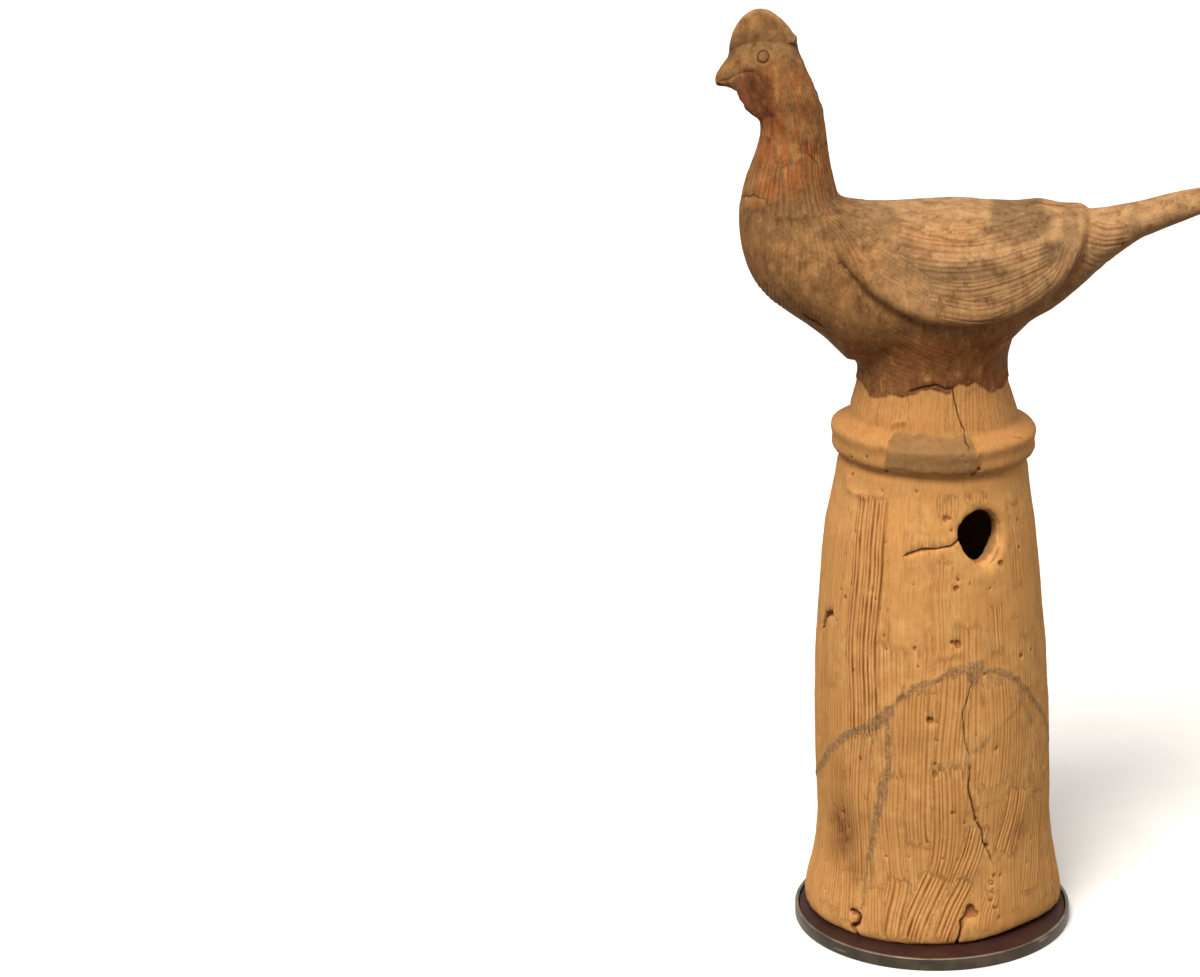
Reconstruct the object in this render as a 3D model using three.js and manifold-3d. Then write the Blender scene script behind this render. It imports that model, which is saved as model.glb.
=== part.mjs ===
// A haniwa: a hollow, coil-built figure of fired clay, here a cock on a ringed cylinder, on a round stand.
// Millimetres, +Z up, origin at the centre of the stand's underside. The cock faces -X, its left side -Y.
import * as THREE from "three";
import { mergeVertices } from "three/addons/utils/BufferGeometryUtils.js";
import Module from "manifold-3d";

const wasm = await Module();
wasm.setup();

// ---------- Driving dimensions ----------

const WALL = 12; // thickness of the clay wall
const AXIS_Y = 5; // the figure stands a little behind the middle of its stand

const DISH = { radius: 81.7, height: 7.5, rim: 2.3, floor: 2.5, chamfer: 0.8 };
const LINING = { top: 6.5, gap: 0.3 };

// From here on, heights are above the foot.
const RING = { middle: 291, dip: 1.8, towards: 105, spread: 22 };
const HOLE = { height: 245, azimuth: 28.5, halfWidth: 12.8, halfHeight: 15.5, point: 0.26 };
const FOOT = { oval: 0.91, shift: 1.4, worn: 5, lift: 2.4, wornAt: 50, wornSpread: 32, reach: 40 };
const WAIST_OVAL = 0.985;
const COMB = { thickness: 13, edge: 3.6 };
const EYE = { x: -92.8, z: 513.4, radius: 3.1, groove: 0.9, reach: 17, lean: 24 };
const WATTLE = { inside: 3.5, thickness: 9, edge: 2.4 };
const WING = { x: 15, z: 423, halfLength: 70, drop: 53.5, frontPower: 1.75, rearPower: 2.2, proud: 5.6,
  spine: 0.3, spineGap: 3, tipRise: 3, tipFrom: 45, tipTo: 62 };

// The figure is parted level, so that its hollow stays open from piece to piece: [piece, lowest, highest].
const PIECES = [["haniwa_cylinder", -5, 214], ["haniwa_pierced_band", 214, 279], ["haniwa_ring", 279, 329],
  ["haniwa_rooster", 329, 545]];
const PARTING_GAP = 0.3;

// Each table holds [place, value] pairs of a smooth outline.
const BASE_RADIUS = [[0, 76.1], [4, 76.9], [12, 76.1], [24, 73.3], [40, 70.3], [60, 68.7], [85, 68.8],
  [133, 68.3], [165, 67], [200, 64.2], [238, 61], [262, 56.5], [281, 54.2], [300, 50.6], [311, 46.9],
  [323, 43.3], [330, 42.5], [338, 43], [346, 44.7], [354, 47.4], [362, 49.8], [368, 51]];
const RING_RADIUS = [[279.5, 54.3], [282.5, 55.2], [285, 57], [289, 57.8], [294, 57.8], [298, 56.8],
  [301, 53.8], [304.5, 50], [308, 47.8]];
const BASE_LEAN = [[0, 1.1], [40, 1.1], [60, 0.9], [120, -0.4], [240, -1.3], [290, 0.8], [330, 0.2],
  [368, 0]];
const BACK_Z = [[-47.5, 427.6], [-30, 426.4], [12, 427.6], [57, 424.8], [78, 421.8], [95, 422.6],
  [112, 425.2], [130, 429.8], [146, 433.2], [165, 436.8], [193, 440.2]];
const BELLY_Z = [[-47.5, 337.5], [-35, 338], [0, 338], [30, 339], [40, 342], [46, 351.5], [52, 358.2],
  [66, 365.6], [92, 387.7], [103, 398.6], [112, 405], [124, 410], [146, 418.5], [165, 425.5], [193, 434]];
const BODY_HALF_WIDTH = [[-47.5, 49], [-25, 52.5], [0, 53.5], [25, 51], [50, 43], [70, 33], [85, 25],
  [100, 19], [115, 15.5], [130, 12.8], [146, 11.2], [170, 10.2], [193, 8]];
// The body turns up into the neck round the hollow of the back: [degrees from straight down, reach].
const TURN = { x: -47.5, z: 434, inner: 6 };
const BREAST_REACH = [[0, 96.5], [7, 85.6], [20, 77.4], [45, 73.4], [63, 67.4], [90, 59.2]];
const BREAST_HALF_WIDTH = [[0, 49], [20, 48], [45, 43], [70, 35], [90, 29]];
const THROAT_X = [[434, -106.7], [446, -103.4], [458, -98.8], [469, -96], [481, -97.6], [495, -104.3],
  [504, -109], [509, -110.3], [514, -108.5], [518, -102], [520.5, -95]];
const NAPE_X = [[434, -53.5], [441, -55.3], [446, -56.4], [458, -57.9], [474, -60], [486, -62.1],
  [497, -65.9], [503, -69.2], [509, -71], [514, -74.5], [518, -81], [520.5, -89]];
const NECK_HALF_WIDTH = [[434, 29], [446, 25.8], [458, 22.4], [469, 20.6], [480, 20.4], [492, 21],
  [501, 20.6], [508, 19.8], [513.4, 17.2], [517, 13.2], [519, 9.5], [520.5, 5]];
// Beak sections: [x, ridge, underside, half width].
const BEAK = [[-86, 511, 484, 19], [-98, 511.6, 486, 15.8], [-106, 512.4, 490, 12], [-111.5, 512, 493, 8.8],
  [-115.5, 508.9, 494, 6], [-119, 504.2, 493.8, 4], [-121.4, 500, 496, 2]];
const COMB_OUTLINE = [[-108, 503], [-113, 511], [-112.4, 519.5], [-109.4, 527.5], [-103, 535.2],
  [-94.5, 538.1], [-85.4, 533.8], [-77.4, 525.6], [-73.6, 514.5], [-75, 503]];
const WATTLE_OUTLINE = [[-110, 496], [-106.8, 489], [-104.2, 482.6], [-100.4, 479], [-96, 476.6],
  [-90, 479.5], [-88, 490], [-94, 498]];

const SECTION_SIDES = 24;
const BASE_SIDES = 36;
const HOLLOW_SIDES = 24;
const STAND_SIDES = 44;

// ---------- Helpers ----------

// A smooth curve through [place, value] pairs.
function through(table) {
  const slope = table.map((_, i) => {
    const [before, after] = [table[Math.max(i - 1, 0)], table[Math.min(i + 1, table.length - 1)]];
    return (after[1] - before[1]) / (after[0] - before[0]);
  });
  return (place) => {
    let i = table.findIndex(([p]) => p >= place);
    if (i < 0) i = table.length - 1;
    i = Math.max(i, 1);
    const [[p0, v0], [p1, v1]] = [table[i - 1], table[i]];
    const span = p1 - p0;
    const t = THREE.MathUtils.clamp((place - p0) / span, 0, 1);
    const [a, b] = [slope[i - 1] * span, slope[i] * span];
    return v0 + t * (a + t * (3 * (v1 - v0) - 2 * a - b + t * (a + b - 2 * (v1 - v0))));
  };
}

const steps = (from, to, count) =>
  Array.from({ length: count + 1 }, (_, i) => from + ((to - from) * i) / count);

// A closed three.js geometry as a solid to join and cut.
function solid(geometry) {
  const bare = geometry.clone();
  for (const name of Object.keys(bare.attributes)) if (name !== "position") bare.deleteAttribute(name);
  const merged = mergeVertices(bare, 1e-3);
  return new wasm.Manifold(
    new wasm.Mesh({
      numProp: 3,
      vertProperties: merged.attributes.position.array,
      triVerts: new Uint32Array(merged.index.array),
    }),
  );
}

function geometryOf(manifold) {
  const mesh = manifold.getMesh();
  const geometry = new THREE.BufferGeometry();
  geometry.setAttribute("position", new THREE.BufferAttribute(mesh.vertProperties, 3));
  geometry.setIndex(new THREE.BufferAttribute(mesh.triVerts, 1));
  const shaded = geometry.toNonIndexed();
  shaded.computeVertexNormals();
  return shaded;
}

// A solid through oval sections. Each has an inner and outer point in the XZ plane and a half width in Y.
function loft(sections, sides = SECTION_SIDES) {
  const positions = [];
  const index = [];
  for (const { inner, outer, halfWidth, power = 2 } of sections) {
    for (let k = 0; k < sides; k++) {
      const angle = (2 * Math.PI * k) / sides;
      const round = (v) => Math.sign(v) * Math.abs(v) ** (2 / power);
      const along = 0.5 - 0.5 * round(Math.cos(angle));
      positions.push(
        inner[0] + (outer[0] - inner[0]) * along,
        halfWidth * round(Math.sin(angle)),
        inner[1] + (outer[1] - inner[1]) * along,
      );
    }
  }
  for (let s = 0; s + 1 < sections.length; s++) {
    for (let k = 0; k < sides; k++) {
      const next = (k + 1) % sides;
      const [a, b, c, d] = [s * sides + k, s * sides + next, (s + 1) * sides + next, (s + 1) * sides + k];
      index.push(a, b, c, a, c, d);
    }
  }
  for (const [s, turned] of [[0, true], [sections.length - 1, false]]) {
    const { inner, outer } = sections[s];
    const centre = positions.length / 3;
    positions.push((inner[0] + outer[0]) / 2, 0, (inner[1] + outer[1]) / 2);
    for (let k = 0; k < sides; k++) {
      const pair = [s * sides + k, s * sides + ((k + 1) % sides)];
      if (turned) pair.reverse();
      index.push(centre, ...pair);
    }
  }
  const geometry = new THREE.BufferGeometry();
  geometry.setAttribute("position", new THREE.Float32BufferAttribute(positions, 3));
  geometry.setIndex(index);
  return geometry;
}

// A solid of revolution about Z from [radius, height] pairs. It starts at -Y and runs on towards +X.
function turned(profile, sides = BASE_SIDES) {
  const points = profile.map(([radius, height]) => new THREE.Vector2(radius, height));
  return new THREE.LatheGeometry(points, sides).rotateX(Math.PI / 2);
}

// A plate that stands in the XZ plane: [x, z] outline, thickness along Y, rounded edges within the outline.
function upright(outline, thickness, edge, middleY = 0) {
  const shape = new THREE.Shape(outline.map(([x, z]) => new THREE.Vector2(x, z)));
  const bevel = { bevelSize: edge, bevelOffset: -edge, bevelThickness: edge, bevelSegments: 2 };
  return new THREE.ExtrudeGeometry(shape, { depth: thickness - 2 * edge, ...bevel })
    .translate(0, 0, edge - thickness / 2)
    .rotateX(Math.PI / 2)
    .translate(0, middleY, 0);
}

// ---------- The cylinder, ring and waist ----------

const azimuthOf = (x, y) => THREE.MathUtils.radToDeg(Math.atan2(x, -y));
const bump = (distance, spread) => Math.exp(-((distance / spread) ** 2));
const fade = (z, reach) => THREE.MathUtils.smoothstep(reach - z, 0, reach);

// The hand-built base is not quite round: an oval foot, worn and lifted at one side, and a ring that dips.
function handBuilt(geometry) {
  const position = geometry.attributes.position;
  for (let i = 0; i < position.count; i++) {
    const [x, y, z] = [position.getX(i), position.getY(i), position.getZ(i)];
    const azimuth = azimuthOf(x, y);
    const low = fade(z, 2.5 * FOOT.reach);
    const lean = baseLean(Math.max(z, 0));
    const worn = bump(azimuth - FOOT.wornAt, FOOT.wornSpread) * fade(z, FOOT.reach);
    const narrowing = 1 - (worn * FOOT.worn) / Math.max(Math.hypot(x, y), 1);
    const oval = THREE.MathUtils.lerp(WAIST_OVAL, FOOT.oval, low);
    const side = Math.cos(THREE.MathUtils.degToRad(azimuth - RING.towards));
    const dip = RING.dip * side * bump(z - RING.middle, RING.spread);
    const newY = y * narrowing * oval + FOOT.shift * low;
    position.setXYZ(i, x * narrowing + lean, newY, z + worn * FOOT.lift - dip);
  }
  return geometry;
}

const baseRadius = through(BASE_RADIUS);
const ringRadius = through(RING_RADIUS);
const baseLean = through(BASE_LEAN);
const BASE_TOP = 368;
const HOLLOW_TOP = 358;
const FOOT_EDGE = 1.5;

function base() {
  const ring = RING_RADIUS.map(([height]) => height);
  const heights = [FOOT_EDGE, 7, 15, 26, 40, 60, 85, 133, 165, 195, 220, 240, 254, 268, ...ring,
    315, 321, 327, 333, 341, 350, 359, BASE_TOP];
  const wall = heights.map((z) => [ring.includes(z) ? ringRadius(z) : baseRadius(z), z]);
  return handBuilt(turned([[0, 0], [baseRadius(0) - FOOT_EDGE, 0], ...wall, [0, BASE_TOP]]));
}

function baseHollow() {
  const heights = [-FOOT_EDGE, 12, 40, 85, 133, 180, 220, 250, 281, 305, 325, 340, HOLLOW_TOP];
  const wall = heights.map((z) => [baseRadius(Math.max(z, 0)) - WALL, z]);
  return handBuilt(turned([[0, -FOOT_EDGE], ...wall, [0, HOLLOW_TOP]], HOLLOW_SIDES));
}

// The hole through the wall: rounded above, pointed below.
function hole(azimuth) {
  const outline = steps(0, 2 * Math.PI, 18).slice(0, -1).map((t) => new THREE.Vector2(
    HOLE.halfWidth * Math.sin(t) * (1 + HOLE.point * Math.cos(t)),
    HOLE.halfHeight * Math.cos(t),
  ));
  const outside = baseRadius(HOLE.height) + WALL;
  return new THREE.ExtrudeGeometry(new THREE.Shape(outline), { depth: 3 * WALL, bevelEnabled: false })
    .rotateX(Math.PI / 2)
    .translate(0, -(outside - 3 * WALL), HOLE.height)
    .rotateZ(THREE.MathUtils.degToRad(azimuth));
}

// ---------- The bird ----------

const backZ = through(BACK_Z);
const bellyZ = through(BELLY_Z);
const bodyHalfWidth = through(BODY_HALF_WIDTH);
const breastReach = through(BREAST_REACH);
const breastHalfWidth = through(BREAST_HALF_WIDTH);
const throatX = through(THROAT_X);
const napeX = through(NAPE_X);
const neckHalfWidth = through(NECK_HALF_WIDTH);

const BODY_POWER = 2.25;

const bodySection = (x) => ({
  inner: [x, backZ(x)],
  outer: [x, bellyZ(x)],
  halfWidth: bodyHalfWidth(x),
  power: x < 60 ? BODY_POWER : 2.1,
});

function breastSection(degrees) {
  const angle = THREE.MathUtils.degToRad(degrees);
  const at = (reach) => [TURN.x - Math.sin(angle) * reach, TURN.z - Math.cos(angle) * reach];
  return {
    inner: at(TURN.inner),
    outer: at(breastReach(degrees)),
    halfWidth: breastHalfWidth(degrees),
    power: THREE.MathUtils.lerp(BODY_POWER, 2, degrees / 90),
  };
}

const neckSection = (z) => ({ inner: [napeX(z), z], outer: [throatX(z), z], halfWidth: neckHalfWidth(z) });

// The same section moved inwards on every side, or outwards where the depth is negative.
function inset({ inner, outer, halfWidth, power }, depth, innerDepth = depth) {
  const length = Math.hypot(outer[0] - inner[0], outer[1] - inner[1]);
  const along = [(outer[0] - inner[0]) / length, (outer[1] - inner[1]) / length];
  return {
    inner: [inner[0] + along[0] * innerDepth, inner[1] + along[1] * innerDepth],
    outer: [outer[0] - along[0] * depth, outer[1] - along[1] * depth],
    halfWidth: halfWidth - depth,
    power,
  };
}

const TAIL_END = 193;
const TAIL_ROUNDING = [[2.6, 2.6], [1.6, 1.2]]; // [beyond the end, inwards]

function body() {
  const tip = TAIL_ROUNDING.map(([beyond, depth]) => {
    const { inner, outer, ...rest } = inset(bodySection(TAIL_END), depth);
    return { inner: [TAIL_END + beyond, inner[1]], outer: [TAIL_END + beyond, outer[1]], ...rest };
  });
  const trunk = [...steps(TAIL_END, 97, 5), ...steps(88, 34, 5), ...steps(22, -34, 4)].map(bodySection);
  const breast = steps(0, 90, 10).map(breastSection);
  const neck = [441, 448, 458, 469, 480, 490, 498, 504, 509, 513.5, 517, 520.5].map(neckSection);
  return loft([...tip, ...trunk, ...breast, ...neck]);
}

function bodyHollow() {
  const trunk = [90, 82, 70, 55, 38, 15, -12, -32].map(bodySection);
  const breast = steps(0, 90, 5).map(breastSection);
  const neck = [448, 458, 468].map(neckSection);
  return loft([...trunk, ...breast, ...neck].map((section) => inset(section, WALL)), HOLLOW_SIDES);
}

// The lower edge of a folded wing in side view. It starts at the shoulder and ends over the tail.
function wingEdge(share) {
  const power = share < 0 ? WING.frontPower : WING.rearPower;
  const drop = WING.drop * (1 - Math.abs(share) ** power) ** (1 / power);
  return [WING.x + WING.halfLength * share, WING.z - drop];
}

// A folded wing is a pad that follows the body, a little proud of it.
function wing(side) {
  const rise = (x) => WING.spine - WING.tipRise * THREE.MathUtils.smoothstep(x, WING.tipFrom, WING.tipTo);
  const trunk = [...steps(97, 34, 5), ...steps(22, -34, 4)]
    .map((x) => inset(bodySection(x), -WING.proud, rise(x)));
  const breast = steps(0, 54, 6).map((degrees) => inset(breastSection(degrees), -WING.proud, WING.spine));
  const edge = steps(-Math.PI / 2, Math.PI / 2, 22).map((t) => wingEdge(Math.sin(t)));
  const [front, rear] = [WING.x - WING.halfLength, WING.x + WING.halfLength];
  const over = [[rear - 7, WING.z + 7], [front + 9, WING.z + 14], [front + 2, WING.z + 6]];
  const outline = [...edge, ...over].map(([x, z]) => new THREE.Vector2(x, z));
  const reach = 1.5 * bodyHalfWidth(0);
  const prism = new THREE.ExtrudeGeometry(new THREE.Shape(outline), { depth: reach, bevelEnabled: false })
    .rotateX(Math.PI / 2)
    .translate(0, side > 0 ? reach + WING.spineGap : -WING.spineGap, 0);
  return solid(loft([...trunk, ...breast])).intersect(solid(prism));
}

function comb() {
  const arch = new THREE.SplineCurve(COMB_OUTLINE.map(([x, z]) => new THREE.Vector2(x, z)));
  return upright(arch.getPoints(20).map(({ x, y }) => [x, y]), COMB.thickness, COMB.edge);
}

function beak() {
  return loft(BEAK.map(([x, ridge, underside, halfWidth]) => (
    { inner: [x, ridge], outer: [x, underside], halfWidth }
  )), 16);
}

function wattle(side) {
  const { inside, thickness, edge } = WATTLE;
  return upright(WATTLE_OUTLINE, thickness, edge, side * (inside + thickness / 2));
}

// A ring pressed round the eye with a tube, square to the slope of the head.
const eye = (side) =>
  new THREE.TorusGeometry(EYE.radius, EYE.groove, 6, 16)
    .rotateX(side * (THREE.MathUtils.degToRad(EYE.lean) - Math.PI / 2))
    .translate(EYE.x, side * EYE.reach, EYE.z);

function figure() {
  const added = [body(), beak(), comb(), wattle(-1), wattle(1)].map(solid);
  const holes = [hole(HOLE.azimuth), hole(HOLE.azimuth + 180)];
  const removed = [baseHollow(), bodyHollow(), ...holes, eye(-1), eye(1)].map(solid);
  const clay = [wing(-1), wing(1), ...added].reduce((whole, more) => whole.add(more), solid(base()));
  return removed.reduce((whole, less) => whole.subtract(less), clay);
}

// The stretch of the figure between two heights, kept clear of the stretch above it.
function stretch(clay, lowest, highest) {
  const [wide, top] = [500, highest - PARTING_GAP];
  const slab = new THREE.BoxGeometry(wide, wide, top - lowest).translate(0, 0, (lowest + top) / 2);
  return geometryOf(clay.intersect(solid(slab)));
}

// ---------- The stand ----------

function dish() {
  const { radius, height, rim, floor, chamfer } = DISH;
  return turned([[0, 0], [radius - chamfer, 0], [radius, chamfer], [radius, height - chamfer],
    [radius - chamfer, height], [radius - rim, height], [radius - rim, floor], [0, floor]], STAND_SIDES);
}

function lining() {
  const radius = DISH.radius - DISH.rim - LINING.gap;
  return turned([[0, DISH.floor], [radius, DISH.floor], [radius, LINING.top], [0, LINING.top]], STAND_SIDES);
}

// ---------- The parts ----------

const CLAY = new THREE.MeshStandardMaterial({ color: 0xb98246, roughness: 0.92, metalness: 0 });
const STEEL = new THREE.MeshStandardMaterial({ color: 0x5a5650, roughness: 0.45, metalness: 0.8 });
const LACQUER = new THREE.MeshStandardMaterial({ color: 0x33181a, roughness: 0.6, metalness: 0 });

function part(name, geometry, material) {
  const mesh = new THREE.Mesh(geometry, material);
  mesh.name = name;
  return mesh;
}

const clay = figure();
const haniwa = new THREE.Group();
for (const [name, lowest, highest] of PIECES) haniwa.add(part(name, stretch(clay, lowest, highest), CLAY));
haniwa.position.set(0, AXIS_Y, LINING.top);

const stand = new THREE.Group();
stand.add(part("stand_dish", dish(), STEEL), part("stand_lining", lining(), LACQUER));

const model = new THREE.Group();
model.add(haniwa, stand);

export default model;
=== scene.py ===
"""A fired-clay haniwa cock on its cylinder, in a round display stand.

The clay is one worked mesh made from the CAD solids. Comb marks, cracks, fillings, pits and wear are carved
into it, and its material is procedural. Metres, +Z up. The clay's own measures are millimetres from its foot.
"""

import itertools
import math

import bpy
import numpy as np
from mathutils import Matrix, Vector

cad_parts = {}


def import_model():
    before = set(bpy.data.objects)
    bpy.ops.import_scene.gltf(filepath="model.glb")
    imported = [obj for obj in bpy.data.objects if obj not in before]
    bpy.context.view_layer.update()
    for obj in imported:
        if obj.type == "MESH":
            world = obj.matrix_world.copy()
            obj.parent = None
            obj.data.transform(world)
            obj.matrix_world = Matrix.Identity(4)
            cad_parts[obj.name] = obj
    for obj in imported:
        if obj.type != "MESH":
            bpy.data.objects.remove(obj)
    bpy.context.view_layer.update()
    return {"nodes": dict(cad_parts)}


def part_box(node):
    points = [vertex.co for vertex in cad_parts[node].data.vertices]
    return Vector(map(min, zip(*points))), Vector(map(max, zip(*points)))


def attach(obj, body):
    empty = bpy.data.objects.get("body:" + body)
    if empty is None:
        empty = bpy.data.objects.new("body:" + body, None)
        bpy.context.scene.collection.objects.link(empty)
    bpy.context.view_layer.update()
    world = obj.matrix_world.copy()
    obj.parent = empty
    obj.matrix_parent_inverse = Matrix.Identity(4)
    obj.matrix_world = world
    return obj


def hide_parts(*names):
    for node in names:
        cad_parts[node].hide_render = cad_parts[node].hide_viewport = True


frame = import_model()

CLAY_NODES = ("haniwa_cylinder", "haniwa_pierced_band", "haniwa_ring", "haniwa_rooster")
MM = 0.001
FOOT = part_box("haniwa_cylinder")[0].z  # the clay's lowest point
AXIS_Y = 5 * MM  # the cylinder stands a little behind the middle of its stand
ORIGIN = np.array([0, AXIS_Y, FOOT])

VOXEL = 2.3 * MM
SUBDIVISIONS = 2
CLAY_TRIANGLES = 190_000
CAD_SIDES = 36  # the CAD cylinder's flat sides
CAD_OVERLAP = 0.6 * MM  # closes the gaps between the CAD pieces

# ---------- The clay's lines and places: degrees round the axis from the front, and millimetres up ----------

RADIUS = ((0, 76.5), (12, 76), (24, 73.3), (40, 70.3), (60, 68.7), (133, 68.3), (165, 67), (200, 64.2),
          (238, 61), (262, 56.5), (281, 54.5), (292, 57), (303, 51), (311, 46.9), (323, 43.3), (345, 44.5))
JOIN = ((-180, 326), (-100, 325), (-72, 327), (-53.5, 322), (-38, 322.7), (-21, 325.5), (-1.5, 331),
        (13.7, 328), (20, 331.8), (34.5, 332), (49, 324.4), (70, 325), (120, 328), (180, 326))
HOLE = {"azimuth": 28.5, "z": 244, "width": 13, "height": 16}
RING = {"z": 291, "dip": 1.8, "low_at": 105}

# Mended breaks, filled with grey paste: (path, width).
FILLINGS = (
    (((88, 104), (70, 130), (59.4, 142.6), (50.2, 153.7), (44.6, 161.3), (35.6, 166.1), (27.4, 169.3),
      (22.3, 172)), 3.4),
    (((15.7, 171.5), (10.8, 170.5), (5.2, 167.5), (-1.8, 163.7), (-8.9, 160.1), (-14.4, 154.7),
      (-20.5, 146)), 3.6),
    (((-20.5, 146), (-25, 139.5), (-30.1, 134.5)), 7.5),
    (((-30.1, 134.5), (-39.2, 128.7), (-48.6, 121.3), (-58.7, 110.9), (-71.2, 93.3), (-84, 84)), 4.6),
    (((22.5, 171.5), (21, 166.5)), 8.5),
    (((-21.7, 139), (-20.8, 130), (-20.8, 114.1), (-22.6, 103.1)), 3.8),
    (((-22.6, 103.1), (-26.5, 84.9), (-29.8, 68.7)), 4.6),
    (((-29.8, 68.7), (-32.8, 53.8), (-34.2, 45.8)), 3.2),
    (((-34.2, 45.8), (-35, 31.9), (-35.7, 18.2)), 2.0),
    (((150, 96), (163, 118), (178, 131), (196, 126), (212, 112)), 3.6),
)
FAINT_FILLINGS = (
    (((19.6, 163), (17.5, 151.8), (15, 144.6), (15.6, 135.3), (16.5, 126.8), (18.2, 120.2)), 1.6),
    (((18.2, 120.2), (18.7, 111.7), (18.3, 99), (21.2, 82.3)), 2.2),
    (((18.6, 119.5), (22.5, 121.5), (26.3, 125.2), (31, 130.5), (38.1, 134), (46, 139), (50, 146)), 2.4),
    (((50, 150), (52, 141), (56, 133), (60, 126)), 2.2),
)
# Open cracks: (path, width, depth).
CRACKS = (
    (((17.2, 248), (16.4, 246.9), (13.6, 244.9), (10, 243), (3.1, 241.8), (-5.5, 241.2), (-14.1, 238)),
     0.5, 1.4),
    (((19.6, 160.1), (17.5, 151.8), (15, 144.6), (15.6, 135.3), (16.5, 126.8), (18.2, 120.2)), 0.3, 0.5),
    (((18.7, 111.7), (18.3, 99), (21.2, 82.3), (22.2, 78.2), (25.1, 70.6), (26.7, 62.5), (28.2, 60),
      (31, 50.9)), 0.38, 0.9),
    (((-41.2, 14.8), (-37.1, 13.6)), 1.5, 2.2),
    (((-37.1, 13.6), (-37.8, 8), (-40.6, 5.4), (-38.6, 1)), 1.8, 2.6),
    (((18.6, 20.7), (15, 15), (13.2, 5.6), (13, 0)), 0.9, 2.0),
    (((-60.3, 193.1), (-66.5, 190.1), (-68.7, 183)), 1.6, 1.8),
    (((16.1, 328.6), (18.2, 316.9), (22.1, 307.5), (21.7, 300.6)), 0.35, 0.6),
    (((-16, 329), (-6, 331.5), (2, 332.5), (9, 330), (14.5, 330.5)), 0.5, 1.0),
    (((118, 2), (120, 18), (116, 30), (119, 44)), 0.8, 1.4),
    (((188, 327), (191, 314), (187, 305)), 0.5, 0.7),
)
# Pits and knocks: (azimuth, z, radius, depth).
PITS = (
    (39.7, 228.6, 2.0, 1.7), (7.8, 259, 2.2, 0.9), (10.5, 258.5, 1.3, 0.7), (12.6, 218.4, 1.7, 1.2),
    (13.4, 186.4, 2.4, 1.6), (10.2, 187.2, 1.5, 1.2), (51, 170.8, 1.6, 1.0), (14, 223.4, 1.1, 0.8),
    (-1, 141, 2.1, 2.4), (-8.7, 183.6, 1.3, 0.9), (-50, 206.8, 1.6, 0.6), (55.9, 233.8, 1.3, 1.0),
    (9.8, 84.1, 1.1, 0.8), (-49.9, 73.7, 1.2, 0.9), (-23.3, 53.9, 0.9, 0.8), (-2, 65.1, 0.9, 0.8),
    (1.7, 108.2, 2.2, 0.7), (22.2, 78.2, 1.4, 1.8), (28.2, 60, 1.5, 1.8), (19, 20.9, 3.6, 3.6),
    (22, 19, 2.2, 1.8), (-41, 14.2, 1.5, 2.2), (-39.9, 3.6, 1.6, 2.0), (33, 120, 1.6, 0.6),
    (27, 286, 1.5, 1.6), (24, 283, 1.8, 1.4), (-27.5, 284.5, 1.3, 2.0), (-40, 291, 0.9, 1.2),
    (-53, 288, 1.0, 0.9), (-56, 276, 1.2, 0.9), (27, 166, 1.0, 0.7),
)
# Soft hollows and lumps: (azimuth, z, width, height, rise).
SWELLS = (
    (56.7, 121.3, 9, 12, -1.3), (46, 96, 16, 12, -0.8), (13.4, 180.8, 4.0, 3.0, 1.0),
    (-59.5, 272.6, 3.2, 3.4, 1.2), (-56.7, 267.7, 4.2, 2.6, 1.3), (-48.8, 266.8, 4.0, 2.2, 1.2),
    (-42.8, 266.7, 3.0, 2.0, 1.4),
    (-28, 66, 12, 40, 0.7), (-48, 62, 14, 18, -0.9), (20, 9, 12, 7, 0.9), (-52, 178, 12, 30, 0.6),
    (30, 118, 12, 30, 0.5), (31, 291, 9, 8, 0.5),
)
# Brown stains: (azimuth, z, width, height, strength).
STAINS = (
    (48.3, 64, 7, 9, 0.8), (45.8, 54, 5, 5, 0.7), (-52, 62, 15, 26, 1.0), (-44, 40, 10, 12, 0.7),
    (-52, 100, 12, 9, 0.4), (-33, 112, 6, 9, 0.35), (-8, 128, 14, 9, 0.3), (33, 176, 10, 8, 0.25),
    (-46, 205, 8, 8, 0.3), (20, 40, 9, 8, 0.25),
    (-64, 140, 7, 50, 0.3), (160, 70, 20, 24, 0.6), (215, 190, 18, 30, 0.4), (120, 240, 12, 20, 0.3),
)

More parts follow.
